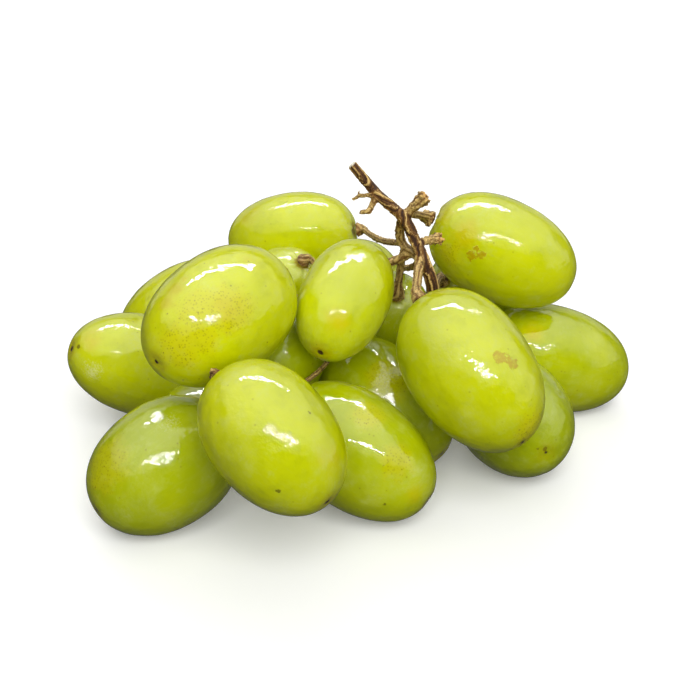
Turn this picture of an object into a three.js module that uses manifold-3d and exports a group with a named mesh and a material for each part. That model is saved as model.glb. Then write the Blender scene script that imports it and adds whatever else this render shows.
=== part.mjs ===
// A small bunch of long green grapes, cut from the vine and lying on a table.
// The bunch is one woody stem and the berries that hang on it, each a solid of its own.
// Millimetres, +Z up. The table is z = 0, -Y faces the viewer and +X is to the viewer's right.

import * as THREE from "three";
import { mergeVertices } from "three/addons/utils/BufferGeometryUtils.js";
import Module from "manifold-3d";

const wasm = await Module();
wasm.setup();

const SKIN_GAP = 0.35; // least space between two neighbours
const TABLE_PRESS = 0.3; // how far a lying berry's skin is flattened by the table
const SETTLE_ROUNDS = 160;

const BERRY_SIDES = 18;
const BERRY_RINGS = 11;
const BLUNTNESS = 2.15; // 2 is a plain ellipse, more is blunter
const TAPER = 0.05; // how much slimmer the free end is than the stem end
const DIMPLE_RADIUS = 2.3;
const DIMPLE_DEPTH = 0.55;

const NECK_LENGTH = 1.3; // straight stretch of a pedicel above its berry
const ROOM_LENGTH = 1.8; // room that other berries leave for it
const ROOM_RADIUS = 1.3;
const CAP_RADIUS = 1.45; // the flared end of a pedicel that sits on the berry
const PEDICEL_RADIUS = 0.62;
const STEM_CLEARANCE = 0.5;
const LIMB_STEP = 1.7; // distance between two rings of a limb

// at: the middle of the berry. heading: where its free end points, seen from above, anticlockwise from +X.
// dip: how far that end points down. wide and long: its two diameters. lies: it rests on the table.
const BERRIES = [
  { name: "grape_01", at: [-11.4, 31.2, 31.1], heading: 172, dip: 9, wide: 17.4, long: 26 },
  { name: "grape_02", at: [-35, 41.6, 11], heading: 183, dip: 30, wide: 20, long: 29, lies: true },
  { name: "grape_03", at: [-20, -13.8, 34.2], heading: 229, dip: 13, wide: 20.8, long: 29.4 },
  { name: "grape_04", at: [-39.2, 16, 10.3], heading: 204, dip: -24, wide: 19.8, long: 31.4, lies: true },
  { name: "grape_05", at: [-3, -3, 33], heading: 249, dip: 25, wide: 15.8, long: 25 },
  { name: "grape_06", at: [-31.3, -21.8, 10.5], heading: 214, dip: 19, wide: 21.4, long: 26.8, lies: true },
  { name: "grape_07", at: [-11.8, -36.4, 24.1], heading: -42, dip: 31, wide: 19.6, long: 27 },
  { name: "grape_08", at: [1.6, -17, 11.2], heading: -27, dip: 25, wide: 20, long: 29.6 },
  { name: "grape_09", at: [20.3, -15.5, 25.5], heading: -48, dip: 36, wide: 21, long: 30.4 },
  { name: "grape_10", at: [28.8, 19, 33.6], heading: -11, dip: 22, wide: 19.6, long: 29 },
  { name: "grape_11", at: [40, 20.5, 10.4], heading: 7, dip: 18, wide: 20.6, long: 30.4, lies: true },
  { name: "grape_12", at: [30, -1.5, 9.8], heading: -72, dip: 2, wide: 20.4, long: 27.2, lies: true },
  { name: "grape_13", at: [5.6, 1.4, 10.5], heading: -36, dip: 28, wide: 19.6, long: 29, lies: true },
  { name: "grape_14", at: [-13.5, 2, 18.5], heading: 215, dip: 45, wide: 16.4, long: 22 },
  { name: "grape_15", at: [-13, 16.5, 23.4], heading: 137, dip: 55, wide: 16.6, long: 22.8 },
  { name: "grape_16", at: [0, 40.5, 18.6], heading: 138, dip: 19, wide: 17.6, long: 24 },
  { name: "grape_17", at: [7.2, 18.8, 19.4], heading: 98, dip: 46, wide: 15.8, long: 21 },
  { name: "grape_18", at: [27, 36, 18], heading: 42, dip: 27, wide: 18.6, long: 25.4 },
  { name: "grape_19", at: [-12, 26, 8.5], heading: 150, dip: 6, wide: 17, long: 22.6, lies: true },
  { name: "grape_20", at: [12.5, 38, 7.5], heading: 100, dip: 4, wide: 15.2, long: 20.4, lies: true },
  { name: "grape_21", at: [-26, 1, 7.2], heading: 225, dip: 5, wide: 15, long: 20, lies: true },
];

// The stem. Each limb starts at its first point and swells or thins from the first radius to the last.
// A limb with berry runs on to that berry's stem end, where cap is the radius of a long flare.
// A limb with torn ends in the knob of a lost berry.
const LIMBS = [
  { path: [[0.4, 8, 54], [4.7, 7, 49.1], [9.6, 5.5, 44.7], [12, 4, 40.1], [13.8, 3, 36.2], [14.8, 3.5, 32],
    [14, 5.5, 27.5]], radii: [0.85, 1.2] },
  { path: [[4.9, 7, 49], [4.1, 6, 47.6], [3.4, 5, 46.4], [2.4, 4.5, 46.1], [1.8, 4.4, 46.5]],
    radii: [0.7, 0.5], torn: 0.6 },
  { path: [[4.5, 6.6, 48.5], [2.8, 6.2, 49], [1.2, 6, 48.8], [0.5, 6, 48.2]],
    radii: [0.42, 0.32], torn: 0.4 },
  { path: [[1.8, 6, 48.9], [1.5, 6, 49.4], [1.8, 6, 50]], radii: [0.28, 0.2], torn: 0.2 },
  { path: [[9.6, 5.5, 44.8], [10.9, 6, 46.7], [12.1, 6, 47.7], [13.3, 6, 48.9]],
    radii: [0.9, 0.75], torn: 1.5 },
  { path: [[11.8, 4.3, 40.6], [14.1, 5.5, 40.9], [16.3, 6, 41.1]], radii: [0.8, 0.6], torn: 1.15 },
  { path: [[9.4, 5.6, 45], [8.9, 7.6, 42], [9.4, 8.6, 39.2], [11, 6.5, 38.2], [12.6, 3.8, 38.4]],
    radii: [0.9, 0.9] },
  { path: [[9.9, 6, 45.8], [12.9, 11, 43.6]], radii: [0.8, 0.75], berry: "grape_10", cap: 1.75 },
  { path: [[9.4, 8.6, 39.2], [8, 11, 38], [6.5, 15, 36.6], [4.6, 21, 35]],
    radii: [0.7, 0.6], berry: "grape_01" },
  { path: [[9.8, 8, 38.7], [8.9, 8.6, 36.4], [8.4, 9.4, 33.4]],
    radii: [0.75, 0.75], berry: "grape_17", cap: 1.7 },
  { path: [[12.4, 3.6, 38.6], [12.4, 1, 37]], radii: [0.95, 0.8], berry: "grape_09" },
  { path: [[12.3, 4, 37.4], [11.8, 9, 34.2], [11, 15, 31], [9.8, 22, 28.4]],
    radii: [0.7, 0.55], berry: "grape_16" },
  { path: [[14.5, 4, 30.5], [16, 12, 28]], radii: [0.7, 0.6], berry: "grape_18", cap: 1.7 },
  { path: [[11.2, 6.2, 38.2], [8.3, 8, 36.1], [4.5, 10, 34], [1, 11.5, 32.3], [-3, 11, 31], [-7.5, 8, 29.5],
    [-13, 4, 29], [-18, 4, 28], [-23.5, 2, 23.5], [-24.5, -3, 19]], radii: [0.85, 0.65] },
  { path: [[-2.4, 11.2, 31.3], [-2.2, 11, 28.5], [-1.2, 10.2, 26], [-0.5, 9.5, 23.6]],
    radii: [0.8, 0.8] },
  { path: [[4.5, 10, 34], [4.6, 10.4, 36.4]], radii: [0.6, 0.55], berry: "grape_05" },
  { path: [[-3, 11, 31], [-4.5, 10.8, 34.6]], radii: [0.6, 0.55], berry: "grape_15" },
  { path: [[-7.5, 8, 29.5], [-6.6, 6.2, 28]], radii: [0.6, 0.55], berry: "grape_14" },
  { path: [[-13, 4, 29], [-12.6, 2.8, 33.5]], radii: [0.6, 0.55], berry: "grape_03" },
  { path: [[-24.5, -3, 19], [-22, -12, 21.5], [-21, -20, 23]],
    radii: [0.6, 0.45], berry: "grape_07", cap: 0.6 },
  { path: [[-24.5, -3, 19], [-22, -9, 17]], radii: [0.6, 0.55], berry: "grape_06" },
  { path: [[-23.5, 2, 23.5], [-25, 6, 15], [-26.5, 14, 8]], radii: [0.6, 0.55], berry: "grape_04" },
  { path: [[-23.5, 2, 23.5], [-23.5, 3, 14]], radii: [0.6, 0.55], berry: "grape_21" },
  { path: [[14, 5.5, 27.5], [17, 9, 23.5], [19.5, 12, 19.5], [20.5, 15, 16]], radii: [0.85, 0.65] },
  { path: [[19.5, 12, 19.5], [22, 15, 18]], radii: [0.6, 0.55], berry: "grape_11" },
  { path: [[19.5, 12, 19.5], [22, 13, 14]], radii: [0.6, 0.55], berry: "grape_12" },
  { path: [[20.5, 15, 16], [18.5, 20, 12]], radii: [0.6, 0.55], berry: "grape_20" },
  { path: [[-0.5, 9.5, 23.6], [-3, 10.8, 20.5]], radii: [0.6, 0.55], berry: "grape_13" },
  { path: [[-0.5, 9.5, 23.6], [-1.5, 5, 23.2], [-3.5, 0, 22], [-6.5, -7, 19.8]],
    radii: [0.55, 0.45], berry: "grape_08" },
  { path: [[-0.5, 9.5, 23.6], [-3.5, 14, 23.5], [-4.5, 20, 21], [-5, 25, 19.5], [-9, 31, 18.5]],
    radii: [0.75, 0.65] },
  { path: [[-4.5, 20, 21], [-3, 19.5, 14]], radii: [0.6, 0.55], berry: "grape_19" },
  { path: [[-9, 31, 18.5], [-15, 36, 19.5]], radii: [0.6, 0.55], berry: "grape_02" },
];

const COLOURS = {
  skin: new THREE.MeshStandardMaterial({ color: 0xb4c818, roughness: 0.25, metalness: 0 }),
  wood: new THREE.MeshStandardMaterial({ color: 0x7d5f2e, roughness: 0.75, metalness: 0 }),
};

const UP = new THREE.Vector3(0, 0, 1);

// A closed manifold solid from a three.js geometry.
function solidOf(geometry) {
  const bare = geometry.index ? geometry.toNonIndexed() : geometry.clone();
  bare.deleteAttribute("normal");
  bare.deleteAttribute("uv");
  const merged = mergeVertices(bare, 1e-4);
  return new wasm.Manifold(
    new wasm.Mesh({
      numProp: 3,
      vertProperties: new Float32Array(merged.attributes.position.array),
      triVerts: new Uint32Array(merged.index.array),
    }),
  );
}

function geometryOf(solid) {
  const { vertProperties, triVerts } = solid.getMesh();
  const geometry = new THREE.BufferGeometry();
  geometry.setAttribute("position", new THREE.BufferAttribute(new Float32Array(vertProperties), 3));
  geometry.setIndex(new THREE.BufferAttribute(new Uint32Array(triVerts), 1));
  geometry.computeVertexNormals();
  return geometry;
}

// Half outline of a berry from its stem end, in the dimple, to its free end. Its axis is Y.
function berryOutline(wide, long) {
  const points = [new THREE.Vector2(0, -long / 2 + DIMPLE_DEPTH)];
  for (let ring = 1; ring < BERRY_RINGS; ring += 1) {
    const along = -Math.cos((Math.PI * ring) / BERRY_RINGS);
    const round = (1 - Math.abs(along) ** BLUNTNESS) ** (1 / BLUNTNESS);
    points.push(new THREE.Vector2((wide / 2) * round * (1 - TAPER * along), (long / 2) * along));
  }
  points.push(new THREE.Vector2(0, long / 2));
  const rim = new THREE.Vector2(DIMPLE_RADIUS, -long / 2 + 0.12);
  points.splice(1, 0, rim);
  return points;
}

// A berry's frame, its outline turned into place, and the points that its neighbours must keep clear of.
function readyBerry(berry) {
  const heading = THREE.MathUtils.degToRad(berry.heading);
  const dip = THREE.MathUtils.degToRad(berry.dip);
  const axis = new THREE.Vector3(
    Math.cos(dip) * Math.cos(heading),
    Math.cos(dip) * Math.sin(heading),
    -Math.sin(dip),
  );
  const turn = new THREE.Quaternion().setFromUnitVectors(new THREE.Vector3(0, 1, 0), axis);
  const geometry = new THREE.LatheGeometry(berryOutline(berry.wide, berry.long), BERRY_SIDES);
  const skin = geometry.attributes.position;
  const outer = [];
  for (let i = 0; i < skin.count; i += 1) {
    outer.push(new THREE.Vector3().fromBufferAttribute(skin, i).applyQuaternion(turn));
  }
  for (let side = 0; side < 6; side += 1) {
    const angle = (side / 6) * 2 * Math.PI;
    outer.push(
      new THREE.Vector3(
        ROOM_RADIUS * Math.cos(angle),
        -berry.long / 2 - ROOM_LENGTH,
        ROOM_RADIUS * Math.sin(angle),
      ).applyQuaternion(turn),
    );
  }
  return { ...berry, axis, turn, geometry, outer, centre: new THREE.Vector3(...berry.at) };
}

// The point of a berry that reaches furthest along a direction, from the berry's middle.
function furthest(berry, direction) {
  let best = berry.outer[0];
  let reach = -Infinity;
  for (const point of berry.outer) {
    const along = point.dot(direction);
    if (along > reach) {
      reach = along;
      best = point;
    }
  }
  return best;
}

// The widest gap that a flat sheet between two berries could have, and the sheet's direction from a to b.
function gapBetween(a, b) {
  const apart = b.centre.clone().sub(a.centre);
  const distance = apart.length();
  const direction = apart.clone().divideScalar(distance);
  let best = { gap: -Infinity, direction: direction.clone() };
  for (let step = 0; step < 24; step += 1) {
    const open = apart
      .clone()
      .sub(furthest(a, direction))
      .add(furthest(b, direction.clone().negate()));
    const gap = open.dot(direction);
    if (gap > best.gap) best = { gap, direction: direction.clone() };
    open.addScaledVector(direction, -gap);
    direction.addScaledVector(open, 0.5 / distance).normalize();
  }
  return best;
}

// Neighbours push each other apart until their skins no longer cross,
// and the lying berries stay on the table.
function settle(berries) {
  for (let round = 0; round < SETTLE_ROUNDS; round += 1) {
    berries.forEach((a, i) => {
      for (const b of berries.slice(i + 1)) {
        if (a.centre.distanceTo(b.centre) > (a.long + b.long) / 2 + ROOM_LENGTH) continue;
        const { gap, direction } = gapBetween(a, b);
        if (gap >= SKIN_GAP) continue;
        const push = (SKIN_GAP - gap) * 0.5;
        a.centre.addScaledVector(direction, -push);
        b.centre.addScaledVector(direction, push);
      }
    });
    for (const berry of berries) {
      const low = berry.centre.z + furthest(berry, UP.clone().negate()).z;
      if (berry.lies || low < 0) berry.centre.z -= low + (berry.lies ? TABLE_PRESS : 0);
    }
  }
}

// A berry's mesh. A lying one is cut flat where the table presses it.
function berryMesh(berry) {
  let geometry = berry.geometry;
  if (berry.lies) {
    const up = UP.clone().applyQuaternion(berry.turn.clone().invert());
    geometry = geometryOf(solidOf(geometry).trimByPlane([up.x, up.y, up.z], -berry.centre.z));
  }
  const mesh = new THREE.Mesh(geometry, COLOURS.skin);
  mesh.name = berry.name;
  mesh.position.copy(berry.centre);
  mesh.quaternion.copy(berry.turn);
  return mesh;
}

// Moves the free points of a path out of every berry, and evens the path out again.
function bentClear(points, radius, berries) {
  const path = points.map((p) => p.clone());
  const last = path.length - 3;
  for (let round = 0; round < 80; round += 1) {
    if (round < 60) {
      for (let i = 1; i <= last; i += 1) {
        const middle = path[i - 1].clone().add(path[i + 1]).multiplyScalar(0.5);
        path[i].lerp(middle, 0.25);
      }
    }
    for (let i = 1; i <= last; i += 1) {
      for (const berry of berries) {
        const room = radius + STEM_CLEARANCE;
        const local = path[i].clone().sub(berry.centre).applyQuaternion(berry.turn.clone().invert());
        const across = Math.hypot(local.x, local.z) / (berry.wide / 2 + room);
        const along = local.y / (berry.long / 2 + room);
        const share = Math.hypot(across, along);
        if (share < 1.03 && share > 0.01) {
          local.multiplyScalar(1.03 / share).applyQuaternion(berry.turn);
          path[i].copy(berry.centre).add(local);
        }
      }
    }
  }
  return path;
}

// A round limb along a smooth curve, closed at both ends. reach gives its radius at each share of its length.
function limbSolid(points, reach, sides) {
  const curve = new THREE.CatmullRomCurve3(points, false, "centripetal");
  const rings = Math.max(2, Math.round(curve.getLength() / LIMB_STEP));
  const frames = curve.computeFrenetFrames(rings);
  const outline = [new THREE.Vector2(0, 0)];
  for (let ring = 0; ring <= rings; ring += 1) outline.push(new THREE.Vector2(reach(ring / rings), ring));
  outline.push(new THREE.Vector2(0, rings));
  const geometry = new THREE.LatheGeometry(outline, sides);
  const place = geometry.attributes.position;
  for (let i = 0; i < place.count; i += 1) {
    const ring = Math.round(place.getY(i));
    const point = curve.getPointAt(ring / rings);
    point.addScaledVector(frames.normals[ring], place.getX(i));
    point.addScaledVector(frames.binormals[ring], -place.getZ(i));
    place.setXYZ(i, point.x, point.y, point.z);
  }
  return solidOf(geometry);
}

// The radius of a limb at each share of its length. It may swell to a torn knob or flare to a berry's cap.
function limbReach(limb, length) {
  const [first, final] = limb.radii;
  return (share) => {
    const plain = THREE.MathUtils.lerp(first, final, share);
    const toEnd = (1 - share) * length;
    if (limb.cap) return plain + (limb.cap - plain) * Math.exp(-((toEnd / 2.2) ** 2));
    if (limb.berry) return plain + (CAP_RADIUS - plain) * Math.exp(-((toEnd / 1.2) ** 2));
    if (limb.torn) return plain + (limb.torn - plain) * Math.exp(-(((toEnd - 0.7) / 1.3) ** 2));
    return plain;
  };
}

// One limb as a solid, run on to its berry if it has one.
function limb(plan, berries) {
  let points = plan.path.map((p) => new THREE.Vector3(...p));
  const berry = berries.find((b) => b.name === plan.berry);
  if (berry) {
    const base = berry.centre.clone().addScaledVector(berry.axis, -berry.long / 2 - 0.05);
    const neck = base.clone().addScaledVector(berry.axis, -NECK_LENGTH);
    const route = new THREE.CatmullRomCurve3([...points, neck], false, "centripetal");
    const steps = Math.max(3, Math.ceil(route.getLength() / 2));
    points = bentClear([...route.getSpacedPoints(steps), base], plan.radii[1], berries);
  } else if (plan.path.length > 7) {
    const route = new THREE.CatmullRomCurve3(points, false, "centripetal");
    points = route.getSpacedPoints(30);
  }
  const length = new THREE.CatmullRomCurve3(points, false, "centripetal").getLength();
  return limbSolid(points, limbReach(plan, length), plan.radii[0] > 0.8 ? 8 : 6);
}

function stemMesh(berries) {
  const stem = wasm.Manifold.union(LIMBS.map((plan) => limb(plan, berries)));
  const mesh = new THREE.Mesh(geometryOf(stem), COLOURS.wood);
  mesh.name = "stem";
  return mesh;
}

const berries = BERRIES.map(readyBerry);
settle(berries);

const bunch = new THREE.Group();
bunch.name = "bunch_of_grapes";
for (const berry of berries) bunch.add(berryMesh(berry));
bunch.add(stemMesh(berries));

// The origin is the middle of the bunch's footprint, on the table.
const middle = new THREE.Box3().setFromObject(bunch, true).getCenter(new THREE.Vector3()).setZ(0);
for (const piece of bunch.children) piece.position.sub(middle);

export default bunch;
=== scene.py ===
"""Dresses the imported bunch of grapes: thin glossy skins with bloom and marks, on a dry ridged stem."""

import math

import bpy
import numpy as np
from mathutils import Matrix, Vector, kdtree, noise


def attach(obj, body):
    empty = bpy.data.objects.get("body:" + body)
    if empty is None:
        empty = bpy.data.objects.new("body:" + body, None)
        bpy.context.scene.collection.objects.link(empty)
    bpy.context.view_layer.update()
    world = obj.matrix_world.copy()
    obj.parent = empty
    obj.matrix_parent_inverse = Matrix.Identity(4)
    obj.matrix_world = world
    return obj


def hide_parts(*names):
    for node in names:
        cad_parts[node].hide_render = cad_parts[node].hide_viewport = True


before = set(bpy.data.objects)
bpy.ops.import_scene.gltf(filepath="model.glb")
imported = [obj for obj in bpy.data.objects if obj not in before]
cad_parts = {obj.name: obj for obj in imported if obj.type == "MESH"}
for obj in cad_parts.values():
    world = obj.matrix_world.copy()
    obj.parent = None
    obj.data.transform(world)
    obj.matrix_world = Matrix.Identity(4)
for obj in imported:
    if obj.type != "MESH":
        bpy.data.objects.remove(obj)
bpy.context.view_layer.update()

bl_info = {
    "name": "Bunch of green grapes",
    "version": (1, 0, 0),
    "blender": (4, 5, 0),
    "location": "3D View > Sidebar > Grapes",
    "description": "Grows the skins and the woody stem of a bunch of grapes round its solids",
    "category": "Object",
}

MM = 0.001

# The camera looks at this point, in metres.
MIDDLE_OF_BUNCH = (-0.00078, -0.00209, 0.022)

# Points of a solid count as on its axis, or as on the table, when they are nearer than this.
NEAR_AXIS = 0.4 * MM
NEAR_TABLE = 0.02 * MM

# The pressed flat spots lie this high, and points of the stem's solid this near to each other are one.
FLAT_HEIGHT = 0.01 * MM
SAME_POINT = 0.002 * MM

# A berry's outline is an ellipse with this power in place of 2, and each berry is rolled this much
# further round its axis than the one before, in radians.
BLUNTNESS = 2.15
ROLL_STEP = 1.7

# On a berry of unit half sizes: the puckers' ring round the pit and its width, how many broad and fine
# puckers there are, and the widths of the dimple and of the nub inside it.
PUCKER_RING = 0.24
PUCKER_WIDTH = 0.1
BROAD_PUCKERS = 9
FINE_PUCKERS = 14
DIMPLE_WIDTH = 0.1
NUB_WIDTH = 0.035

# How far the shader's small relief stands up.
SKIN_RELIEF = 0.25 * MM
BARK_RELIEF = 0.14 * MM
PAPER_RELIEF = 0.02 * MM

# How each berry looks, from 0 to 1: how ripe it is, how much pale bloom it has and how freckled it is.
CHARACTER = {
    "grape_01": (0.95, 0.25, 0.45),
    "grape_02": (1.0, 0.8, 0.2),
    "grape_03": (1.0, 0.4, 1.0),
    "grape_04": (0.8, 0.6, 0.35),
    "grape_05": (0.75, 0.4, 0.45),
    "grape_06": (0.15, 0.6, 0.5),
    "grape_07": (0.75, 0.7, 0.3),
    "grape_08": (0.35, 0.7, 0.45),
    "grape_09": (0.7, 0.7, 0.3),
    "grape_10": (0.8, 0.2, 0.4),
    "grape_11": (0.35, 0.4, 0.25),
    "grape_12": (0.1, 0.6, 0.4),
    "grape_13": (0.2, 0.8, 0.8),
    "grape_14": (0.1, 0.4, 0.4),
    "grape_15": (0.6, 0.9, 0.2),
    "grape_16": (0.6, 0.9, 0.1),
    "grape_17": (0.4, 0.8, 0.2),
    "grape_18": (0.4, 0.6, 0.2),
}
PLAIN_CHARACTER = (0.4, 0.5, 0.3)

# Marks on the skins: berry, kind of mark, middle and reach in millimetres, and strength.
MARKS = [
    ("grape_01", "stain", (-20.7, 28, 36.6), 3.6, 0.6),
    ("grape_01", "stain", (-10, 21.5, 32.2), 3, 0.4),
    ("grape_03", "stain", (-29.8, -24, 40.5), 1.9, 0.9),
    ("grape_03", "stain", (-28.5, -22.5, 42), 1.9, 1.0),
    ("grape_03", "stain", (-27.3, -21, 43), 1.5, 0.7),
    ("grape_03", "stain", (-20, -25.3, 39.8), 3.2, 0.75),
    ("grape_03", "stain", (-27.2, -29, 35.4), 3, 0.45),
    ("grape_03", "stain", (-17, -17, 44.5), 3, 0.5),
    ("grape_03", "freckle", (-20, -25.3, 39.8), 4, 1.0),
    ("grape_03", "freckle", (-24.5, -26.2, 40.2), 3.6, 0.85),
    ("grape_03", "freckle", (-27.2, -29, 35.4), 4, 0.9),
    ("grape_03", "freckle", (-23.5, -28.6, 36.1), 3, 0.7),
    ("grape_04", "stain", (-49, 6.6, 20), 3, 0.8),
    ("grape_04", "spot", (-51.2, 6.5, 18.6), 0.7, 0.85),
    ("grape_04", "scuff", (-48.5, 3.7, 15), 3, 0.7),
    ("grape_05", "stain", (-2.8, -15.2, 33.6), 3.2, 0.75),
    ("grape_05", "stain", (-9.5, -9, 41), 3, 0.5),
    ("grape_05", "freckle", (-12, -16, 34), 4, 0.5),
    ("grape_05", "scuff", (-8, -14.5, 37), 3.4, 0.55),
    ("grape_06", "freckle", (-40.6, -31.2, 14.9), 5, 0.8),
    ("grape_06", "scuff", (-30.4, -27, 20.9), 3.4, 0.6),
    ("grape_07", "stain", (-3.8, -46.3, 24.8), 4, 0.55),
    ("grape_07", "stain", (-18, -40, 36), 4, 0.3),
    ("grape_07", "spot", (-11.4, -49.5, 21.2), 0.7, 0.8),
    ("grape_07", "spot", (-6.8, -42.9, 30.7), 0.6, 0.8),
    ("grape_08", "freckle", (2.3, -23.7, 20.2), 3, 0.8),
    ("grape_08", "freckle", (6.8, -28.8, 14.4), 3, 0.8),
    ("grape_08", "stain", (9.9, -29.6, 8.6), 2.4, 0.7),
    ("grape_08", "spot", (4.9, -30.8, 7.5), 0.55, 0.9),
    ("grape_09", "cork", (23.2, -25.2, 31.4), 1.6, 1.0),
    ("grape_09", "cork", (25.2, -25.4, 30.6), 1.5, 0.95),
    ("grape_09", "freckle", (28.7, -27.6, 19.9), 3.4, 0.8),
    ("grape_09", "stain", (28.7, -27.6, 19.9), 3, 0.5),
    ("grape_09", "stain", (14.4, -13, 39), 3.4, 0.6),
    ("grape_09", "spot", (27.4, -26.9, 16.5), 0.8, 1.0),
    ("grape_10", "stain", (20.5, 10.5, 39.6), 3.4, 0.9),
    ("grape_10", "stain", (17, 15, 41), 3, 0.6),
    ("grape_10", "cork", (21.4, 8.8, 36), 1.3, 0.95),
    ("grape_10", "cork", (23.2, 8.4, 36.3), 1.2, 0.9),
    ("grape_10", "cork", (22.2, 8.8, 37.3), 0.9, 0.8),
    ("grape_10", "freckle", (15.9, 17.8, 41.3), 2.8, 0.8),
    ("grape_10", "freckle", (17.5, 11, 35.6), 2.8, 0.7),
    ("grape_10", "stain", (33, 5, 34), 2.4, 0.5),
    ("grape_11", "stain", (33.8, 11.7, 19.1), 3, 0.8),
    ("grape_12", "spot", (31.6, -17, 10.3), 0.55, 0.9),
    ("grape_12", "spot", (33, -16.8, 10), 0.7, 0.85),
    ("grape_13", "scuff", (5.9, -6.3, 18.5), 3.6, 0.55),
    ("grape_13", "freckle", (5.9, -6.3, 18.5), 4, 0.9),
]
KINDS = ("stain", "freckle", "cork", "spot", "scuff")

# The reach of the dark scar at the free end, in millimetres.
SCARS = {
    "grape_03": 0.35,
    "grape_04": 0.5,
    "grape_05": 0.45,
    "grape_07": 0.4,
    "grape_09": 0.45,
    "grape_12": 0.2,
}
PLAIN_SCAR = 0.35

# The main stalk's course, its cut end, the torn knobs of lost berries and two dry twigs, in millimetres.
STALK = [
    (-0.4, 5.9, 54),
    (3.9, 4.9, 49.1),
    (8.8, 3.4, 44.7),
    (11.2, 1.9, 40.1),
    (13, 0.9, 36.2),
    (14, 1.4, 32),
    (13.2, 3.4, 27.5),
]
CUT_END = (-0.4, 5.9, 54.3)
KNOBS = [(12.5, 3.9, 48.9), (15.5, 3.9, 41.1)]
TWIGS = [(1.3, 2.4, 46.3), (-0.2, 3.9, 48.3)]

# How far the finish of each form of the stem reaches from its middle, in millimetres.
STALK_REACH = 1.6
CUT_REACH = 1.1
KNOB_REACH = 1.7
TWIG_REACH = 0.9
CAP_REACH = 2
FLARE_REACH = 1.2

# How far round a point its limb is looked for, and how far the limb's way is smoothed, in millimetres.
LIMB_REACH = 2.4
SMOOTHING_REACH = 1.4

# How many broad and narrow ridges run round a limb, and how many folds round the cap on a berry.
BROAD_RIDGES = 6
NARROW_RIDGES = 11
CAP_FOLDS = 9

# The lamps: name, place, size and power in metres and watts, the point that each faces, the spread of
# its beam in degrees, and whether it gleams on the skins or lights them.
LAMPS = [
    ("overhead", (0, 0.2, 1.4), (2.2, 2.0), 9, (0, 0.2, 0), 180, False),
    ("ceiling", (0.15, -0.12, 0.475), (2.2, 1.5), 17, (0.15, -0.12, 0), 135, True),
    ("wall", (0, 0.75, 0.22), (1.6, 0.44), 1.2, (0, 0, 0.1), 180, True),
    ("window", (0.75, -0.1, 0.28), (0.9, 0.5), 0.6, (0, -0.1, 0.02), 110, True),
    ("reflector", (0.1, -0.9, 0.12), (0.8, 0.2), 1.0, (0, 0, 0.02), 180, False),
    ("tube_behind", (-0.02, 0.2, 0.455), (0.46, 0.028), 2.6, (-0.02, 0.2, 0), 180, True),
    ("tube_front", (0.07, -0.45, 0.455), (0.42, 0.02), 2.4, (0.07, -0.45, 0), 180, True),
]

# The broad far lights: name, the direction that each comes from, and strength. Their width in degrees.
WIDE_LIGHTS = [
    ("key", (0.14, -0.76, 0.64), 3.0),
    ("fill", (-0.2, 0.85, 0.48), 0.8),
]
WIDE_ANGLE = 50


def tone(red, green, blue):
    """A colour given as a screen shows it, 0 to 255, in the light values that a shader takes."""
    out = []
    for level in (red, green, blue):
        share = level / 255
        out.append(share / 12.92 if share <= 0.04045 else ((share + 0.055) / 1.055) ** 2.4)
    return (*out, 1.0)


def colour(name, description, value):
    """A colour setting, given as a screen shows it."""
    return bpy.props.FloatVectorProperty(
        name=name, description=description, default=tone(*value), size=4, min=0, max=1, subtype="COLOR"
    )


def length(name, description, value):
    """A length setting, in metres."""
    return bpy.props.FloatProperty(
        name=name, description=description, default=value, min=0, unit="LENGTH"
    )


def amount(name, description, value):
    """A setting with no unit, such as a share of a berry's half size or the strength of a light."""
    return bpy.props.FloatProperty(
        name=name, description=description, default=value, min=0, precision=3
    )


def faces(name, description, value):
    """A setting that counts the faces along or round a shape."""
    return bpy.props.IntProperty(name=name, description=description, default=value, min=16)


class SkinSettings(bpy.types.PropertyGroup):
    """The berries' shape and colours"""

    rings: faces("Rings", "Faces from end to end of a berry", 84)
    sides: faces("Sides", "Faces round a berry", 116)
    taper: amount("Taper", "How much slimmer the free end is, as a share of the half width", 0.05)
    pit_depth: amount("Pit depth", "Depth of the stalk's pit, as a share of the half length", 0.05)
    pit_reach: amount("Pit reach", "How far the pit spreads, as a share of the half width", 0.26)
    pucker: amount("Pucker", "Height of the pit's puckers, as a share of the half length", 0.008)
    dimple: amount("Dimple", "Depth of the free end's dimple, as a share of the half length", 0.022)
    nub: amount("Nub", "Height of the nub in the dimple, as a share of the half length", 0.016)
    lump_size: length("Lump size", "How broad the lumps of the skin are", 0.0075)
    unevenness: length("Unevenness", "How far the skin wanders from a smooth shape", 0.00016)
    ripple_size: length("Ripple size", "How broad the small ripples of the skin are", 0.0024)
    ripple: length("Ripple", "How deep the small ripples of the skin are", 0.00005)
    green: colour("Green flesh", "Flesh of a less ripe berry, seen through its skin", (156, 169, 2))
    yellow: colour("Yellow flesh", "Flesh of a ripe berry", (202, 208, 1))
    shade: colour("Deep flesh", "Flesh where it looks deepest", (140, 152, 0))
    bloom: colour("Bloom", "The pale waxy film", (200, 205, 130))
    pale: colour("Pale flesh", "Skin round the stalk, and its veins", (200, 207, 110))
    stain: colour("Stain", "Yellow-brown tint round the marks", (198, 186, 0))
    fleck: colour("Fleck", "Small dots in the skin", (120, 104, 0))
    cork: colour("Cork", "Corky patches", (174, 146, 0))
    scar: colour("Scar", "The dry spot at the free end", (62, 36, 14))
    scuff: colour("Scuff", "Dry pale scuffs", (226, 226, 176))


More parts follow.
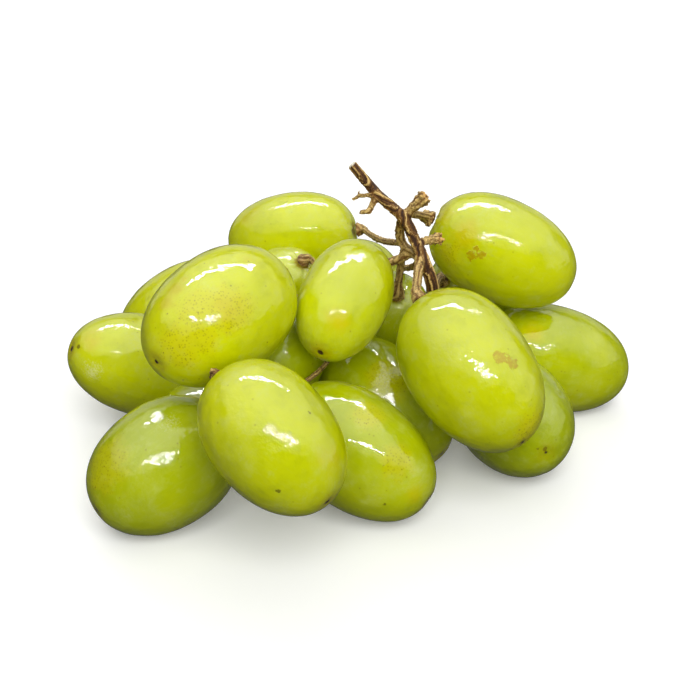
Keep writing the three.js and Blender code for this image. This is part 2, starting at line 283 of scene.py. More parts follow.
class StemSettings(bpy.types.PropertyGroup):
    """The stem's relief and colours"""

    grain_step: length("Grain step", "Finest detail of the stem's mesh", 0.0002)
    ridge: length("Ridge", "How deep the ridges of the bark are", 0.00024)
    knot: length("Knot", "How far the torn ends swell and crumble", 0.0005)
    flare: length("Flare", "How far the caps on the berries spread", 0.00045)
    slimming: length("Slimming", "How much slimmer the young stalks are than their solids", 0.00006)
    bark: colour("Bark", "Old bark of the main stalk", (104, 68, 24))
    # Painted shade: this dark colour fills the furrows of the bark, where shade falls, and it also tints
    # the dark specks of the crust.
    furrow_shade_and_crust: colour("Furrow", "Bark in its furrows", (48, 26, 10))
    crest_and_highlight: colour("Crest", "Dry crests of the ridges", (216, 182, 110))
    # Partly painted highlight: this pale colour goes on the tops of the ridges, partly as pale dry bark
    # and partly as painted highlight, and in pale specks on the young stalks.
    stalk: colour("Young stalk", "Younger stalks near the berries", (162, 134, 72))
    wound: colour("Wound", "Torn fibres", (230, 178, 92))
    cut: colour("Cut", "The cleanly cut end", (236, 228, 205))
    rim: colour("Rim", "The flared ends that sat on the berries", (104, 52, 22))


class StageSettings(bpy.types.PropertyGroup):
    """The floor, the room's light and the camera"""

    paper: colour("Paper", "The floor", (250, 250, 248))
    floor_size: length("Floor size", "Each side of the floor", 60)
    glow: amount("Floor glow", "How strongly the floor shines by itself", 0.12)
    room: amount("Room light", "How strongly the room lights the bunch from all sides", 0.09)
    distance: length("Camera distance", "From the lens to the middle of the bunch", 0.24)
    lens: amount("Lens", "Focal length in millimetres", 68.9)
    look_down: bpy.props.FloatProperty(
        name="Look down",
        description="How steeply the camera looks down",
        default=math.radians(25),
        subtype="ANGLE",
    )


def deselect_all():
    """Leaves nothing selected, in object mode."""
    if bpy.context.object and bpy.context.object.mode != "OBJECT":
        bpy.ops.object.mode_set(mode="OBJECT")
    bpy.ops.object.select_all(action="DESELECT")


def pick(piece):
    """Selects one piece alone and makes it active."""
    deselect_all()
    piece.select_set(True)
    bpy.context.view_layer.objects.active = piece


def finish_modifier(piece, kind, **settings):
    """Adds a modifier to a piece and applies it."""
    pick(piece)
    modifier = piece.modifiers.new(kind.title(), kind)
    for key, value in settings.items():
        setattr(modifier, key, value)
    bpy.ops.object.modifier_apply(modifier=modifier.name)


def corners(piece):
    """The piece's vertices as rows of x, y, z."""
    out = np.empty(len(piece.data.vertices) * 3, np.float64)
    piece.data.vertices.foreach_get("co", out)
    return out.reshape(-1, 3)


def put_corners(piece, places):
    """Moves the piece's vertices."""
    piece.data.vertices.foreach_set("co", np.asarray(places, np.float32).ravel())
    piece.data.update()


def note_on_skin(piece, name, values):
    """Keeps a number or a vector for every vertex, for the materials to read."""
    values = np.asarray(values, np.float32)
    kind = "FLOAT_VECTOR" if values.ndim == 2 else "FLOAT"
    attribute = piece.data.attributes.new(name, kind, "POINT")
    attribute.data.foreach_set("vector" if kind == "FLOAT_VECTOR" else "value", values.ravel())


class Berry:
    """A berry's solid, in metres: its middle, its axis towards the free end and its half sizes."""

    def __init__(self, node):
        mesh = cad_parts[node].data
        mesh.calc_loop_triangles()
        places = corners(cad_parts[node])
        triangles = np.empty(len(mesh.loop_triangles) * 3, np.int64)
        mesh.loop_triangles.foreach_get("vertices", triangles)
        a, b, c = (places[triangles.reshape(-1, 3)[:, i]] for i in range(3))
        area = np.linalg.norm(np.cross(b - a, c - a), axis=1) / 2
        total = a + b + c
        mean = (area[:, None] * total / 3).sum(0) / area.sum()
        spread = sum(np.einsum("n,ni,nj->ij", area / 12, v, v) for v in (a, b, c, total)) / area.sum()
        # The long axis is the direction in which the surface spreads most.
        axis = np.linalg.eigh(spread - np.outer(mean, mean))[1][:, 2]
        along = (places - mean) @ axis
        aside = np.linalg.norm(places - mean - along[:, None] * axis, axis=1)
        # The end with the pit is the stalk's.
        on_axis = along[aside < NEAR_AXIS]
        if on_axis.min() - along.min() < along.max() - on_axis.max():
            axis, along = -axis, -along
        self.node = node
        self.number = int(node[-2:])
        self.axis = axis
        self.middle = mean + axis * (along.min() + along.max()) / 2
        self.half_long = (along.max() - along.min()) / 2
        self.half_wide = aside.max()
        self.stem_end = self.middle - axis * self.half_long
        self.lies = places[:, 2].min() < NEAR_TABLE

    def turn(self):
        """The turn that lays the berry's own Z along its axis, rolled so that no two look alike."""
        z = Vector(self.axis)
        side = z.orthogonal().normalized()
        x = Matrix.Rotation(self.number * ROLL_STEP, 3, z) @ side
        return np.array([x, z.cross(x), z]).T


def all_berries():
    """Every berry's solid, in order of number."""
    return [Berry(node) for node in sorted(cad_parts) if node.startswith("grape")]


def pattern_berry(skin):
    """A berry of unit half sizes, modelled once: blunt ends, a slimmer free end, a pit and a dimple."""
    deselect_all()
    bpy.ops.mesh.primitive_uv_sphere_add(segments=skin.sides, ring_count=skin.rings, radius=1)
    pattern = bpy.context.object
    bpy.ops.object.mode_set(mode="EDIT")
    bpy.ops.mesh.select_all(action="DESELECT")
    bpy.ops.object.mode_set(mode="OBJECT")
    for vertex in pattern.data.vertices:
        vertex.select = vertex.co.z < -0.999
    bpy.ops.object.mode_set(mode="EDIT")
    bpy.ops.transform.translate(
        value=(0, 0, skin.pit_depth),
        use_proportional_edit=True,
        proportional_edit_falloff="SMOOTH",
        proportional_size=skin.pit_reach,
    )
    bpy.ops.object.mode_set(mode="OBJECT")
    places = corners(pattern)
    along = np.clip(places[:, 2], -1, 1)
    round_now = np.sqrt(np.clip(1 - along**2, 1e-9, 1))
    round_new = (1 - np.abs(along) ** BLUNTNESS) ** (1 / BLUNTNESS)
    grow = np.where(round_now > 0.02, round_new / round_now, 1) * (1 - skin.taper * along)
    places[:, :2] *= np.minimum(grow, 1.25)[:, None]
    around = np.arctan2(places[:, 1], places[:, 0])
    aside = np.linalg.norm(places[:, :2], axis=1)
    shoulder = (along < 0) * np.exp(-(((aside - PUCKER_RING) / PUCKER_WIDTH) ** 2))
    folds = np.cos(BROAD_PUCKERS * around) + 0.6 * np.cos(FINE_PUCKERS * around + 1)
    places[:, 2] += skin.pucker * shoulder * folds
    places[:, 2] -= (along > 0) * skin.dimple * np.exp(-((aside / DIMPLE_WIDTH) ** 2))
    places[:, 2] += (along > 0) * skin.nub * np.exp(-((aside / NUB_WIDTH) ** 2))
    put_corners(pattern, places)
    return pattern


def shaped_berry(pattern, berry, skin):
    """A copy of the pattern, fitted to one berry's solid, a little uneven, and flat where it lies."""
    piece = pattern.copy()
    piece.data = pattern.data.copy()
    piece.name = piece.data.name = f"berry_{berry.number:02d}"
    bpy.context.scene.collection.objects.link(piece)
    own = corners(piece) * (berry.half_wide, berry.half_wide, berry.half_long)
    put_corners(piece, own @ berry.turn().T + berry.middle)
    for name, size, depth, middle in (
        ("lumps", skin.lump_size, skin.unevenness, 0.55),
        ("ripples", skin.ripple_size, skin.ripple, 0.5),
    ):
        relief = bpy.data.textures.new(f"{name}_{berry.number:02d}", "CLOUDS")
        relief.noise_scale = size
        finish_modifier(
            piece, "DISPLACE", texture=relief, texture_coords="LOCAL", strength=depth, mid_level=middle
        )
    places = corners(piece)
    if berry.lies:
        places[:, 2] = np.maximum(places[:, 2], FLAT_HEIGHT)
    put_corners(piece, places)
    pick(piece)
    bpy.ops.object.shade_smooth()
    note_on_skin(piece, "skin_place", own / MM)
    note_looks(piece, berry, places / MM)
    return piece


def note_looks(piece, berry, places):
    """Notes a berry's character on its skin, and where its marks are."""
    ripe, bloom, dots = CHARACTER.get(berry.node, PLAIN_CHARACTER)
    character = {
        "skin_seed": float(berry.number),
        "half_long": berry.half_long / MM,
        "ripeness": ripe,
        "bloom": bloom,
        "freckles": dots,
        "scar_size": SCARS.get(berry.node, PLAIN_SCAR),
    }
    for name, value in character.items():
        note_on_skin(piece, name, np.full(len(places), value))
    marks = {kind: np.zeros(len(places)) for kind in KINDS}
    for node, kind, middle, reach, strength in MARKS:
        if node == berry.node:
            marks[kind] = np.maximum(marks[kind], strength * nearness(places, [middle], reach))
    for kind, strengths in marks.items():
        note_on_skin(piece, kind, strengths)


class Number:
    """A shader value that sums and products can be written with."""

    def __init__(self, shader, socket):
        self.shader = shader
        self.socket = socket

    def _do(self, operation, first, second):
        made = self.shader.node("ShaderNodeMath", {"operation": operation}, {0: first, 1: second})
        return Number(self.shader, made.outputs[0])

    def __add__(self, other):
        return self._do("ADD", self, other)

    def __sub__(self, other):
        return self._do("SUBTRACT", self, other)

    def __rsub__(self, other):
        return self._do("SUBTRACT", other, self)

    def __mul__(self, other):
        return self._do("MULTIPLY", self, other)

    def __pow__(self, other):
        return self._do("POWER", self, other)

    __radd__ = __add__
    __rmul__ = __mul__

    def limited(self):
        """The value, held between 0 and 1."""
        return self.shader.span(self, 0.0, 1.0, smooth=False)


class Shader:
    """A material and its nodes."""

    def __init__(self, name):
        self.material = bpy.data.materials.new(name)
        self.material.use_nodes = True
        self.tree = self.material.node_tree
        self.tree.nodes.clear()

    def node(self, kind, settings=None, inputs=None):
        """Adds a node, with its settings, and with a value or a link for each input."""
        made = self.tree.nodes.new(kind)
        for key, value in (settings or {}).items():
            setattr(made, key, value)
        for key, value in (inputs or {}).items():
            if isinstance(value, Number):
                value = value.socket
            if isinstance(value, bpy.types.NodeSocket):
                self.tree.links.new(value, made.inputs[key])
            else:
                made.inputs[key].default_value = value
        return made

    def noted(self, name):
        """A number kept on the vertices."""
        return Number(self, self.node("ShaderNodeAttribute", {"attribute_name": name}).outputs["Fac"])

    def noted_place(self, name):
        """A vector kept on the vertices."""
        return self.node("ShaderNodeAttribute", {"attribute_name": name}).outputs["Vector"]

    def span(self, value, low, high, smooth=True, low_out=0.0, high_out=1.0):
        """A number stretched from one range to another and held inside it."""
        made = self.node(
            "ShaderNodeMapRange",
            {"interpolation_type": "SMOOTHSTEP" if smooth else "LINEAR"},
            {"Value": value, "From Min": low, "From Max": high, "To Min": low_out, "To Max": high_out},
        )
        return Number(self, made.outputs["Result"])

    def stretched(self, place, scale):
        """A place, with each direction multiplied by a scale of its own."""
        made = self.node("ShaderNodeVectorMath", {"operation": "MULTIPLY"}, {0: place, 1: scale})
        return made.outputs[0]

    def clouds(self, place, scale, detail=2.0, rough=0.5):
        """Soft noise, about 0.5 on average."""
        inputs = {"Vector": place, "Scale": scale, "Detail": detail, "Roughness": rough}
        made = self.node("ShaderNodeTexNoise", {}, inputs)
        return Number(self, made.outputs["Fac"])

    def dots(self, place, scale, radius, share):
        """Round dots scattered over a surface, one in each of a share of its cells."""
        cells = self.node("ShaderNodeTexVoronoi", {"feature": "F1"}, {"Vector": place, "Scale": scale})
        chance = self.node("ShaderNodeSeparateColor", {}, {"Color": cells.outputs["Color"]})
        near = self.span(Number(self, cells.outputs["Distance"]), radius, radius * 0.35)
        return near * self.span(Number(self, chance.outputs[0]), 1 - share, 1.02 - share)

    def blend(self, share, below, above):
        """One colour over another."""
        made = self.node("ShaderNodeMix", {"data_type": "RGBA"}, {0: share, 6: below, 7: above})
        return made.outputs[2]

    def finish(self, inputs, height, reach):
        """The surface, with its relief."""
        relief = self.node("ShaderNodeBump", {}, {"Strength": 1.0, "Distance": reach, "Height": height})
        surface = self.node("ShaderNodeBsdfPrincipled", {}, {**inputs, "Normal": relief.outputs[0]})
        self.node("ShaderNodeOutputMaterial", {}, {"Surface": surface.outputs[0]})
        return self.material


class SkinPlaces:
    """Where the shaded point is on its berry, in millimetres: in its patterns, and from each end."""

    def __init__(self, shader):
        place = shader.noted_place("skin_place")
        seed = shader.noted("skin_seed")
        push = shader.node("ShaderNodeCombineXYZ", {}, {0: seed * 31.7, 1: seed * 17.3, 2: seed * 9.1})
        apart = shader.node("ShaderNodeVectorMath", {"operation": "ADD"}, {0: place, 1: push.outputs[0]})
        split = shader.node("ShaderNodeSeparateXYZ", {}, {0: place})
        x, y, z = (Number(shader, split.outputs[i]) for i in range(3))
        half = shader.noted("half_long")
        aside = (x * x + y * y) ** 0.5
        self.own = apart.outputs[0]
        self.to_tip = ((half - z) ** 2 + aside * aside) ** 0.5
        self.to_pit = ((half + z) ** 2 + aside * aside) ** 0.5


class SkinMarks:
    """How strongly each kind of mark shows at the shaded point."""

    def __init__(self, shader, at):
        soft = shader.clouds(at.own, 0.55, 4, 0.65)
        self.grit = shader.clouds(at.own, 2.6, 3, 0.65)
        self.crumbs = shader.clouds(at.own, 1.5, 4, 0.65)
        ragged = shader.clouds(at.own, 1.6, 3) * 0.7 + 0.65

        self.stain = shader.span(shader.noted("stain") * (soft * 1.5 + 0.25), 0.2, 0.95)
        self.crowd = shader.span(shader.noted("freckle") + (soft - 0.5) * 0.9, 0.12, 0.6)
        fine = shader.dots(at.own, 2.3, 0.46, 0.85) * self.crowd
        middling = shader.dots(at.own, 1.2, 0.24, 0.45) * self.crowd
        sparse = shader.dots(at.own, 0.62, 0.15, 0.35) * (shader.noted("freckles") * 0.5 + 0.3)
        self.flecks = (fine * 0.5 + middling * 0.8 + sparse).limited()
        worn = shader.noted("scuff") + (self.grit - 0.5) * 1.1 + (soft - 0.5) * 0.6
        self.scuff = shader.span(worn, 0.42, 0.9)
        self.patch = shader.span(shader.noted("cork") + (self.crumbs - 0.5) * 1.1, 0.5, 0.62)
        self.spot = shader.span(shader.noted("spot") + (self.crumbs - 0.5) * 0.8, 0.48, 0.66)

        size = shader.noted("scar_size")
        self.halo = shader.span(at.to_tip, 3.2, 0.6) * size
        self.scar = shader.span(at.to_tip * ragged - size, 0.25, -0.05)
        self.ring = shader.span(at.to_pit * ragged, 1.9, 1.1)

    def paint(self, shader, flesh, skin):
        """Lays the marks over the flesh, those of the two ends last."""
        flaky = shader.span(self.crumbs, 0.3, 0.6, low_out=0.3, high_out=0.85)
        patchy = shader.span(self.crumbs, 0.35, 0.6, low_out=0.3, high_out=1.3)
        for share, tint in (
            (self.stain * 0.75, skin.stain),
            (self.crowd * 0.4, skin.stain),
            (self.flecks * 0.75, skin.fleck),
            (self.scuff * 0.5, skin.scuff),
            (self.patch * flaky, skin.cork),
            (self.spot * 0.65, skin.scar),
            (self.halo * patchy, skin.cork),
            (self.scar, skin.scar),
            (self.ring * 0.75, skin.cork),
        ):
            flesh = shader.blend(share, flesh, tint)
        return flesh


def flesh_colour(shader, at, marble, skin):
    """Green to yellow by ripeness, marbled, with faint veins that show best near the stalk."""
    mottle = shader.clouds(at.own, 0.1, 3)
    ripe = (shader.noted("ripeness") + (mottle - 0.5) * 0.9).limited()
    veins = shader.clouds(shader.stretched(at.own, (1.0, 1.0, 0.12)), 1.3, 3, 0.6)
    shown = shader.span(at.to_pit, 9.0, 2.0, low_out=0.05, high_out=0.6)
    flesh = shader.blend(ripe, skin.green, skin.yellow)
    flesh = shader.blend(shader.span(marble, 0.5, 0.75) * 0.22, flesh, skin.shade)
    flesh = shader.blend(shader.span(marble, 0.48, 0.25) * 0.25, flesh, skin.pale)
    flesh = shader.blend(shader.span(veins, 0.5, 0.68) * shown, flesh, skin.pale)
    return shader.blend(shader.span(at.to_pit, 5.0, 1.6) * 0.6, flesh, skin.pale)


def bloom_cover(shader, at):
    """How thickly the waxy bloom lies: in drifts, and wiped off in streaks."""
    drifts = shader.span(shader.clouds(at.own, 0.14, 3), 0.45, 0.7)
    streaks = shader.clouds(shader.stretched(at.own, (1.0, 0.35, 0.6)), 1.6, 4, 0.75)
    return shader.noted("bloom") * drifts * (shader.span(streaks, 0.42, 0.66) * 0.65 + 0.35)


def skin_relief(shader, at, marble, marks):
    """Waves and ripples that break up the gleams, and the marks' own small relief."""
    waves = shader.clouds(at.own, 0.26, 1, 0.5)
    ripples = shader.clouds(at.own, 0.9, 2, 0.55)
    wrinkled = shader.span(shader.clouds(at.own, 0.12, 2), 0.35, 0.65, low_out=0.14, high_out=0.42)
    gritty = shader.span(marble, 0.4, 0.65, low_out=0.004, high_out=0.02)
    height = waves + ripples * wrinkled + marks.grit * gritty
    return height + marks.patch * 0.15 + marks.scuff * 0.05 - marks.scar * 0.3 + marks.flecks * 0.02


def skin_material(skin):
    """Flesh seen through a thin skin, under bloom and marks."""
    shader = Shader("grape_skin")
    at = SkinPlaces(shader)
    marks = SkinMarks(shader, at)
    marble = shader.clouds(at.own, 0.34, 4, 0.6)
    bloom = bloom_cover(shader, at)
    flesh = shader.blend(bloom * 0.35, flesh_colour(shader, at, marble, skin), skin.bloom)
    dull = marks.patch * 0.15 + marks.scuff * 0.3 + marks.scar * 0.4 + marks.stain * 0.04
    return shader.finish(
        {
            "Base Color": marks.paint(shader, flesh, skin),
            "Roughness": (bloom * 0.16 + dull + 0.05).limited(),
            "IOR": 1.46,
            "Subsurface Weight": 0.8,
            "Subsurface Radius": (1.0, 0.95, 0.2),
            "Subsurface Scale": 0.005,
        },
        skin_relief(shader, at, marble, marks),
        SKIN_RELIEF,
    )


def stem_body(stem):
    """The stem's solid, remeshed finely and rounded, and the solid's own points in millimetres."""
    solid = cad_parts["stem"]
    piece = bpy.data.objects.new("woody_stem", solid.data.copy())
    piece.data.name = "woody_stem"
    bpy.context.scene.collection.objects.link(piece)
    pick(piece)
    bpy.ops.object.mode_set(mode="EDIT")
    bpy.ops.mesh.select_all(action="SELECT")
    bpy.ops.mesh.remove_doubles(threshold=SAME_POINT)
    bpy.ops.object.mode_set(mode="OBJECT")
    guides = corners(piece) / MM
    finish_modifier(piece, "REMESH", mode="VOXEL", voxel_size=stem.grain_step, adaptivity=0)
    finish_modifier(piece, "SMOOTH", factor=0.5, iterations=4)
    return piece, guides


def unit(rows):
    """The rows as directions of length 1."""
    return rows / (np.linalg.norm(rows, axis=1)[:, None] + 1e-9)


def limb_guides(guides):
    """A tree of the solid's points, and at each the middle of its limb and the way the limb runs."""
    tree = kdtree.KDTree(len(guides))
    for i, point in enumerate(guides):
        tree.insert(point, i)
    tree.balance()
    middles, ways = np.empty_like(guides), np.empty_like(guides)
    for i, point in enumerate(guides):
        near = guides[[found[1] for found in tree.find_range(point, LIMB_REACH)]]
        middles[i] = near.mean(0)
        way = np.array((0, 0, 1.0))
        if len(near) > 3:
            way = np.linalg.eigh(np.cov((near - middles[i]).T))[1][:, 2]
        # Every way points up, or to the right where it is nearly level.
        ways[i] = -way if way[2] + 0.3 * way[0] < 0 else way
    smooth = np.empty_like(ways)
    for i, point in enumerate(guides):
        found = tree.find_range(point, LIMB_REACH)
        near = [f[1] for f in found]
        weight = np.exp(-((np.array([f[2] for f in found]) / SMOOTHING_REACH) ** 2))[:, None]
        smooth[i] = (ways[near] * weight).sum(0)
    return tree, middles, unit(smooth)


def limb_frame(places, guides):
    """At each place, the way its limb runs, the angle round the limb and how far along it is."""
    tree, middles, ways = limb_guides(guides)
    way, middle = np.empty_like(places), np.empty_like(places)
    for i, place in enumerate(places):
        found = tree.find_n(place, 5)
        nearest = [f[1] for f in found]
        weight = np.array([1 / (0.15 + f[2]) for f in found])[:, None]
        way[i] = (ways[nearest] * weight).sum(0)
        middle[i] = (middles[nearest] * weight).sum(0) / weight.sum()
    way = unit(way)
    # The angle is counted between two directions across the limb.
    east = unit(np.cross(np.array((0.3, 1.0, 0.2)), way))
    north = np.cross(way, east)
    out = places - middle
    angle = np.arctan2((out * north).sum(1), (out * east).sum(1))
    return way, angle, (places * way).sum(1)


def from_line(places, line):
    """How far each place is from a line through several points."""
    best = np.full(len(places), np.inf)
    for a, b in zip(np.array(line[:-1], float), np.array(line[1:], float)):
        share = np.clip((places - a) @ (b - a) / ((b - a) @ (b - a)), 0, 1)
        best = np.minimum(best, np.linalg.norm(places - a - share[:, None] * (b - a), axis=1))
    return best


def nearness(places, points, reach):
    """1 at the nearest of some points, falling off over a reach."""
    apart = np.min([np.linalg.norm(places - np.array(p), axis=1) for p in points], axis=0)
    return np.exp(-((apart / reach) ** 2))


def bumps(places):
    """Smooth noise at each place."""
    return np.array([noise.noise(Vector(place)) for place in places])


def carve_stem(piece, guides, stem, berries):
    """Raises the bark's ridges, swells the torn ends and notes where each finish goes."""
    places = corners(piece) / MM
    normals = np.empty(len(places) * 3)
    piece.data.vertices.foreach_get("normal", normals)
    normals = normals.reshape(-1, 3)
    way, angle, along = limb_frame(places, guides)
    cap_middles = [berry.stem_end / MM for berry in berries]
    caps = nearness(places, cap_middles, CAP_REACH)
    old = np.exp(-((from_line(places, STALK) / STALK_REACH) ** 4))
    torn = nearness(places, KNOBS, KNOB_REACH)
    twig = nearness(places, TWIGS, TWIG_REACH)
    rough = np.array([noise.fractal(Vector(p * 1.15), 0.6, 2.1, 4) for p in places])
    crumbs = bumps(places * 2.9)
    slow = bumps(places * 0.7)
    drift = bumps(np.stack([along * 0.17, np.full(len(places), 3.1), old], 1))
    broad = np.cos(BROAD_RIDGES * angle + 1.6 * drift)
    narrow = np.cos(NARROW_RIDGES * angle - 2 * drift + 1)
    ridges = (0.5 + 0.5 * (0.65 * broad + 0.35 * narrow)) ** 1.5 * (1 + 0.25 * slow)

    height = stem.ridge / MM * (ridges - 0.35) * (0.35 + 0.65 * old)
    height += (0.02 + 0.1 * (1 - old)) * np.maximum(crumbs + 0.4 * rough, -0.25)
    height -= stem.slimming / MM * (1 - old) * (1 - caps)
    height += stem.knot / MM * torn * (0.8 * rough + 1.1 * np.maximum(crumbs, -0.2) + 0.1)
    aside = 1 - np.abs((normals * way).sum(1))
    height += stem.flare / MM * nearness(places, cap_middles, FLARE_REACH) * aside
    height += 0.07 * caps * np.cos(CAP_FOLDS * angle) + 0.04 * rough + 0.04
    put_corners(piece, (places + normals * height[:, None]) * MM)

    outward = unit(np.subtract(*np.array(STALK[:2], float))[None])[0]
    end = np.minimum(1.5 * nearness(places, [CUT_END], CUT_REACH) * (normals @ outward > 0.45), 1)
    note_on_skin(piece, "grain", np.stack([np.cos(angle), np.sin(angle), along * 0.06], 1))
    note_on_skin(piece, "ridge_height", ridges + 0.12 * crumbs)
    note_on_skin(piece, "old_bark", old)
    note_on_skin(piece, "wound", np.maximum(torn, 0.5 * twig))
    note_on_skin(piece, "crumbs", crumbs)
    note_on_skin(piece, "cap", caps)
    note_on_skin(piece, "cut", end)


def bark_material(stem):
    """Ridged brown bark with painted shade in its furrows and partly painted highlights on its ridges,
    tan young stalks, pale torn fibres and dark rims of the caps.
    """
    shader = Shader("stem_wood")
    grain = shader.noted_place("grain")
    place = shader.node("ShaderNodeTexCoord").outputs["Object"]
    ridge = shader.noted("ridge_height")
    old = shader.noted("old_bark")
    streaks = shader.clouds(grain, 5.5, 4, 0.65)
    fine = shader.clouds(grain, 15.0, 3, 0.6)
    blotch = shader.clouds(place, 420.0, 3, 0.6)
    crust = shader.clouds(place, 1500.0, 3, 0.7)

    raised = ridge + (streaks - 0.5) * 1.1 + (fine - 0.5) * 1.2
    # Painted shade: the furrow colour fills the low parts of the ridged bark.
    bark = shader.blend(shader.span(raised, 0.1, 0.42), stem.furrow_shade_and_crust, stem.bark)
    # Partly painted highlight: the crest colour lies on the high parts of the ridges, as pale dry bark
    # and as painted highlight on them.
    crest_and_highlight = shader.span(raised + (blotch - 0.5) * 0.35, 0.52, 0.82)
    bark = shader.blend(crest_and_highlight * 0.9, bark, stem.crest_and_highlight)
    # Painted shade and highlight on the young stalks too: the darker bark colour in their low parts and
    # the crest colour on their ridges.
    young = shader.blend(shader.span(raised, 0.05, 0.35), stem.bark, stem.stalk)
    young = shader.blend(shader.span(raised + (blotch - 0.5) * 0.7, 0.36, 0.74) * 0.85, young, stem.crest_and_highlight)
    young = shader.blend(shader.dots(place, 1300.0, 0.3, 0.25) * 0.35, young, stem.crest_and_highlight)
    wood = shader.blend(shader.span(old + (blotch - 0.5) * 0.8, 0.3, 0.7), young, bark)
    wood = shader.blend(shader.span(crust + old * 0.1, 0.5, 0.36, high_out=0.6), wood, stem.furrow_shade_and_crust)

    cap = shader.noted("cap")
    wood = shader.blend(shader.span(cap * (crust + 0.5), 0.5, 0.95) * 0.8, wood, stem.rim)
    wound = shader.noted("wound")
    pith = shader.blend(shader.span(shader.noted("crumbs"), -0.25, 0.2), stem.bark, stem.wound)
    wood = shader.blend(shader.span(wound * (crust * 0.9 + 0.55), 0.5, 0.85), wood, pith)
    wood = shader.blend(shader.noted("cut"), wood, stem.cut)

    height = streaks * 0.7 + crust * 0.5 + fine * 0.3
    return shader.finish(
        {"Base Color": wood, "Roughness": (0.78 - crest_and_highlight * 0.2).limited(), "IOR": 1.4},
        height,
        BARK_RELIEF,
    )


def dress(piece, node, material):
    """Gives a piece its finish, hangs it under the root and hides the solid that it stands for."""
    piece.data.materials.clear()
    piece.data.materials.append(material)
    for polygon in piece.data.polygons:
        polygon.material_index = 0
    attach(piece, "root")
    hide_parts(node)


class GRAPES_OT_skins(bpy.types.Operator):
    """Grow a skin round every berry's solid"""

    bl_idname = "grapes.skins"
    bl_label = "Berries"

    def execute(self, context):
        skin = context.scene.grape_skin
        pattern = pattern_berry(skin)
        material = skin_material(skin)
        for berry in all_berries():
            dress(shaped_berry(pattern, berry, skin), berry.node, material)
        bpy.data.objects.remove(pattern)
        return {"FINISHED"}


class GRAPES_OT_stem(bpy.types.Operator):
    """Grow bark on the stem's solid"""

    bl_idname = "grapes.stem"
    bl_label = "Stem"

    def execute(self, context):
        stem = context.scene.grape_stem
        piece, guides = stem_body(stem)
        carve_stem(piece, guides, stem, all_berries())
        pick(piece)
        bpy.ops.object.shade_smooth()
        dress(piece, "stem", bark_material(stem))
        return {"FINISHED"}


def lay_floor(stage):
    """A wide sheet of pale paper that is left out of the gleams and of the light on the bunch."""
    deselect_all()
    bpy.ops.mesh.primitive_plane_add(size=stage.floor_size, location=(0, 0, 0))
    floor = bpy.context.object
    floor.name = "floor"
    shader = Shader("paper")
    fibres = shader.clouds(shader.node("ShaderNodeTexCoord").outputs["Object"], 60.0)
    paper = shader.finish(
        {
            "Base Color": stage.paper,
            "Roughness": 0.9,
            "Specular IOR Level": 0.1,
            "Emission Color": stage.paper,
            "Emission Strength": stage.glow,
        },
        fibres,
        PAPER_RELIEF,
    )
    floor.data.materials.append(paper)
    floor.visible_glossy = floor.visible_diffuse = False


def light_room(stage):
    """White light from all round, and colours shown as they are."""
    world = bpy.data.worlds.new("room")
    bpy.context.scene.world = world
    world.use_nodes = True
    background = world.node_tree.nodes["Background"]
    background.inputs["Color"].default_value = (1, 1, 1, 1)
    background.inputs["Strength"].default_value = stage.room
    bpy.context.scene.view_settings.view_transform = "Standard"


def put_in_scene(name, thing):
    """A lamp or a camera, placed in the scene."""
    holder = bpy.data.objects.new(name, thing)
    bpy.context.scene.collection.objects.link(holder)
    return holder


def soft_light(name, place, size, power, aim, spread, gleams):
    """A rectangular lamp that faces a point, and either lights the skins or gleams on them."""
    lamp = bpy.data.lights.new(name, "AREA")
    lamp.shape = "RECTANGLE"
    lamp.size, lamp.size_y = size
    lamp.energy = power
    lamp.spread = math.radians(spread)
    holder = put_in_scene(name, lamp)
    holder.location = place
    holder.rotation_euler = (Vector(aim) - Vector(place)).to_track_quat("-Z", "Y").to_euler()
    holder.visible_glossy = gleams
    holder.visible_diffuse = not gleams


def wide_light(name, direction, energy):
    """A broad far light from a direction, which lights the skins but doesn't gleam on them."""
    lamp = bpy.data.lights.new(name, "SUN")
    lamp.energy = energy
    lamp.angle = math.radians(WIDE_ANGLE)
    holder = put_in_scene(name, lamp)
    holder.rotation_euler = Vector(direction).to_track_quat("Z", "Y").to_euler()
    holder.visible_glossy = False


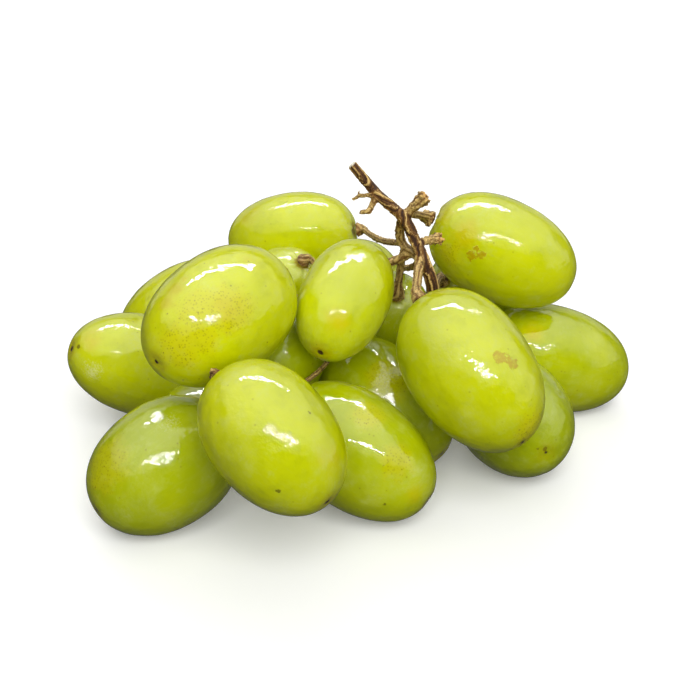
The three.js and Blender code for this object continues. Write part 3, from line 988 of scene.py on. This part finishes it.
def place_camera(stage):
    """The camera, in front of the bunch and above it."""
    camera = put_in_scene("camera", bpy.data.cameras.new("camera"))
    camera.data.lens = stage.lens
    camera.data.sensor_width = 36
    camera.data.clip_start = 0.01
    away = Vector((0, -math.cos(stage.look_down), math.sin(stage.look_down)))
    camera.location = Vector(MIDDLE_OF_BUNCH) + stage.distance * away
    camera.rotation_euler = (math.radians(90) - stage.look_down, 0, 0)
    bpy.context.scene.camera = camera


class GRAPES_OT_stage(bpy.types.Operator):
    """Set the floor, the lamps and the camera"""

    bl_idname = "grapes.stage"
    bl_label = "Stage"

    def execute(self, context):
        stage = context.scene.grape_stage
        lay_floor(stage)
        light_room(stage)
        for light in WIDE_LIGHTS:
            wide_light(*light)
        for lamp in LAMPS:
            soft_light(*lamp)
        place_camera(stage)
        return {"FINISHED"}


class GRAPES_PT_panel(bpy.types.Panel):
    """The steps that make the bunch"""

    bl_label = "Grapes"
    bl_idname = "GRAPES_PT_panel"
    bl_space_type = "VIEW_3D"
    bl_region_type = "UI"
    bl_category = "Grapes"

    def draw(self, context):
        scene = context.scene
        for settings in (scene.grape_skin, scene.grape_stem, scene.grape_stage):
            box = self.layout.box()
            for key in settings.__annotations__:
                box.prop(settings, key)
        for operator in (GRAPES_OT_skins, GRAPES_OT_stem, GRAPES_OT_stage):
            self.layout.operator(operator.bl_idname)


CLASSES = (
    SkinSettings,
    StemSettings,
    StageSettings,
    GRAPES_OT_skins,
    GRAPES_OT_stem,
    GRAPES_OT_stage,
    GRAPES_PT_panel,
)


def register():
    """Adds the steps and their settings."""
    for item in CLASSES:
        bpy.utils.register_class(item)
    bpy.types.Scene.grape_skin = bpy.props.PointerProperty(type=SkinSettings)
    bpy.types.Scene.grape_stem = bpy.props.PointerProperty(type=StemSettings)
    bpy.types.Scene.grape_stage = bpy.props.PointerProperty(type=StageSettings)


def unregister():
    """Takes the steps and their settings away again."""
    del bpy.types.Scene.grape_skin
    del bpy.types.Scene.grape_stem
    del bpy.types.Scene.grape_stage
    for item in reversed(CLASSES):
        bpy.utils.unregister_class(item)


def main():
    """Runs every step in order."""
    register()
    bpy.ops.grapes.stage()
    bpy.ops.grapes.skins()
    bpy.ops.grapes.stem()


if __name__ == "__main__":
    main()
